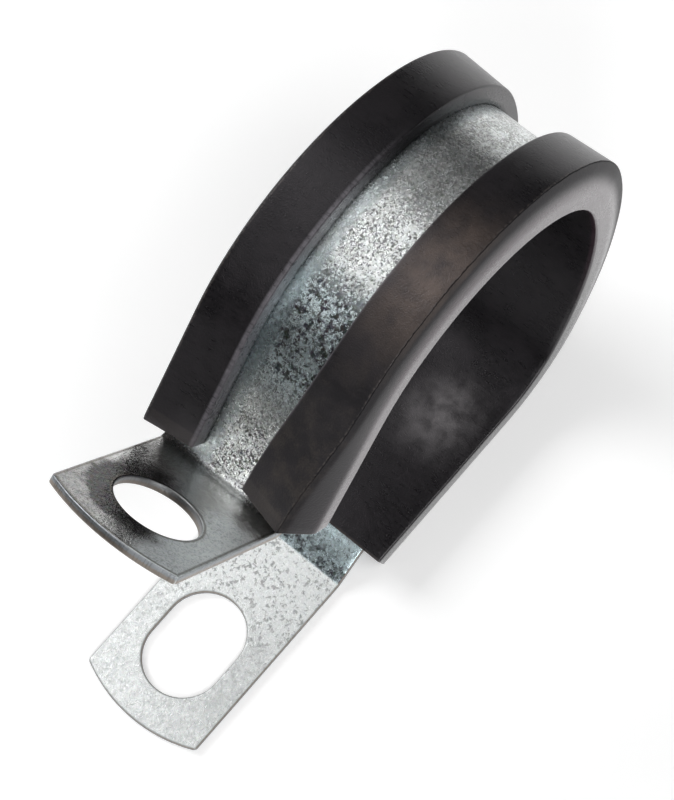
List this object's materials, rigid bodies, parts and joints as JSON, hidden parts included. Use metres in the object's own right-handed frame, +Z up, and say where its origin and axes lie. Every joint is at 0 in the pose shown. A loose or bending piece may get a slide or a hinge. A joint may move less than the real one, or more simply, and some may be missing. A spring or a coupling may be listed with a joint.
{
  "type": "p clip",
  "caption": "Rubber-lined P clip, sprung open: a bent steel strip with a slotted tab and a holed tab, its loop gripped by a black rubber channel that cushions a cable or pipe.",
  "frame": {"origin": "centre of the lower tab's slot, on the tab's underside", "axes": "+Z up, away from the surface the lower tab is bolted to; the tabs reach towards -X and the loop towards +X; the cable runs through the loop along Y"},
  "size_m": [0.0578, 0.0172, 0.0449],
  "materials": {
    "zinc_plated_steel": "zinc plated, satin, finely speckled and mottled, unpolished",
    "black_rubber": "matt black extruded rubber, a little greyer on the side walls and cut ends"
  },
  "bodies": {
    "root": {"steel_band": "zinc_plated_steel", "rubber_liner": "black_rubber"}
  },
  "joints": []
}
